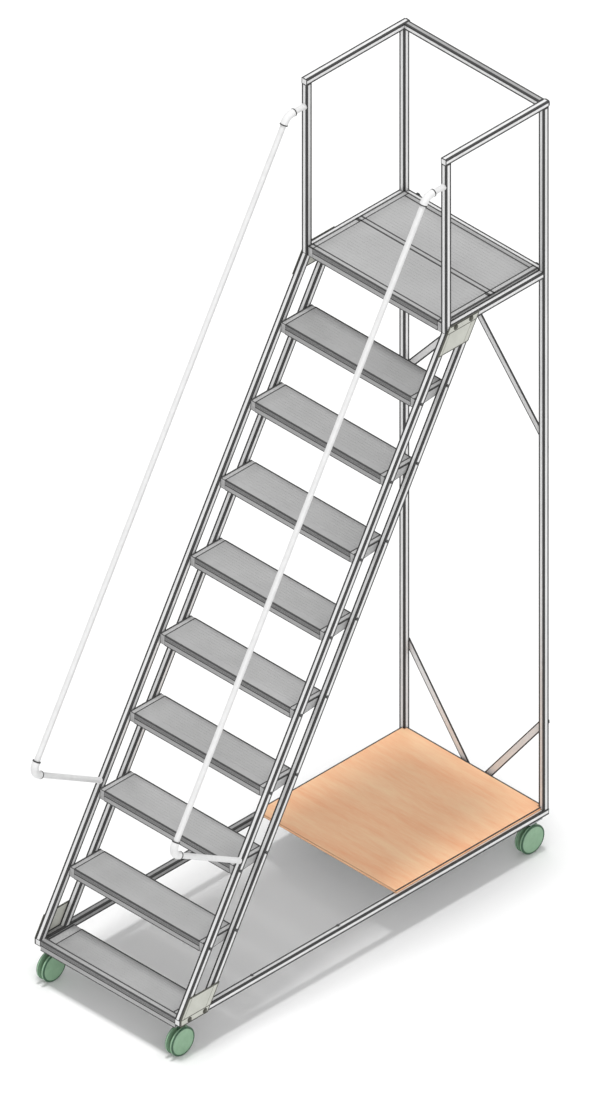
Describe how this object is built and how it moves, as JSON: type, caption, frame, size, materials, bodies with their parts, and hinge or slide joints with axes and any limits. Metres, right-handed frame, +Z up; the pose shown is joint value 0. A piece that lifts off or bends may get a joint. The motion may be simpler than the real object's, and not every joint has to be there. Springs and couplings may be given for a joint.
{
  "type": "mobile platform ladder",
  "caption": "Aluminium profile stair on swivel castors, with ribbed treads, a guarded deck, round handrails, rear diagonal braces and a storage board on the base.",
  "frame": {"origin": "on the floor under the middle of the stair's bounding box", "axes": "+Z up, +Y from the lowest tread towards the platform, +X to the climber's right"},
  "size_m": [0.848, 2.1638, 3.7185],
  "materials": {
    "profile": "satin anodised extrusion",
    "tread": "satin ribbed extrusion",
    "bracket": "matt casting",
    "gusset": "satin paint",
    "brace": "satin flat bar",
    "handrail": "smooth coat",
    "fitting": "moulded",
    "board": "sealed face veneer",
    "wheel": "moulded",
    "castor_head": "moulded",
    "castor_steel": "zinc plated"
  },
  "bodies": {
    "frame": {"base_front_bar": "tread", "base_rear_bar": "profile", "base_side_rail_left": "profile", "base_side_rail_right": "profile", "brace_lower_left": "brace", "brace_lower_right": "brace", "brace_upper_left": "brace", "brace_upper_right": "brace", "castor_plates": "castor_steel", "deck_plank_front": "tread", "deck_plank_rear": "tread", "front_post_left": "profile", "front_post_right": "profile", "guard_rail_left": "profile", "guard_rail_rear": "profile", "guard_rail_right": "profile", "gusset_lower_left": "gusset", "gusset_lower_right": "gusset", "gusset_upper_left": "gusset", "gusset_upper_right": "gusset", "handrail_left": "handrail", "handrail_mounts_left": "fitting", "handrail_mounts_right": "fitting", "handrail_right": "handrail", "platform_rear_beam": "profile", "platform_side_beam_left": "profile", "platform_side_beam_right": "profile", "rear_post_left": "profile", "rear_post_right": "profile", "step_brackets_left": "bracket", "step_brackets_right": "bracket", "storage_board": "board", "stringer_front_left": "profile", "stringer_front_right": "profile", "stringer_rear_left": "profile", "stringer_rear_right": "profile", "tread_1": "tread", "tread_2": "tread", "tread_3": "tread", "tread_4": "tread", "tread_5": "tread", "tread_6": "tread", "tread_7": "tread", "tread_8": "tread", "tread_9": "tread"},
    "castor_front_left": {"castor_head_front_left": "castor_head", "castor_axle_front_left": "castor_steel"},
    "wheels_front_left": {"castor_wheels_front_left": "wheel"},
    "castor_front_right": {"castor_head_front_right": "castor_head", "castor_axle_front_right": "castor_steel"},
    "wheels_front_right": {"castor_wheels_front_right": "wheel"},
    "castor_rear_left": {"castor_head_rear_left": "castor_head", "castor_axle_rear_left": "castor_steel"},
    "wheels_rear_left": {"castor_wheels_rear_left": "wheel"},
    "castor_rear_right": {"castor_head_rear_right": "castor_head", "castor_axle_rear_right": "castor_steel"},
    "wheels_rear_right": {"castor_wheels_rear_right": "wheel"}
  },
  "joints": [
    {"name": "swivel_front_left", "type": "hinge", "parent": "frame", "child": "castor_front_left", "pos_m": [-0.369, -0.99125, 0.1685], "axis": [0, 0, 1], "continuous": true},
    {"name": "roll_front_left", "type": "hinge", "parent": "castor_front_left", "child": "wheels_front_left", "pos_m": [-0.369, -1.00125, 0.0665], "axis": [1, 0, 0], "continuous": true},
    {"name": "swivel_front_right", "type": "hinge", "parent": "frame", "child": "castor_front_right", "pos_m": [0.369, -0.99125, 0.1685], "axis": [0, 0, 1], "continuous": true},
    {"name": "roll_front_right", "type": "hinge", "parent": "castor_front_right", "child": "wheels_front_right", "pos_m": [0.369, -1.00125, 0.0665], "axis": [1, 0, 0], "continuous": true},
    {"name": "swivel_rear_left", "type": "hinge", "parent": "frame", "child": "castor_rear_left", "pos_m": [-0.369, 1.01699, 0.1685], "axis": [0, 0, 1], "continuous": true},
    {"name": "roll_rear_left", "type": "hinge", "parent": "castor_rear_left", "child": "wheels_rear_left", "pos_m": [-0.369, 1.00699, 0.0665], "axis": [1, 0, 0], "continuous": true},
    {"name": "swivel_rear_right", "type": "hinge", "parent": "frame", "child": "castor_rear_right", "pos_m": [0.369, 1.01699, 0.1685], "axis": [0, 0, 1], "continuous": true},
    {"name": "roll_rear_right", "type": "hinge", "parent": "castor_rear_right", "child": "wheels_rear_right", "pos_m": [0.369, 1.00699, 0.0665], "axis": [1, 0, 0], "continuous": true}
  ]
}
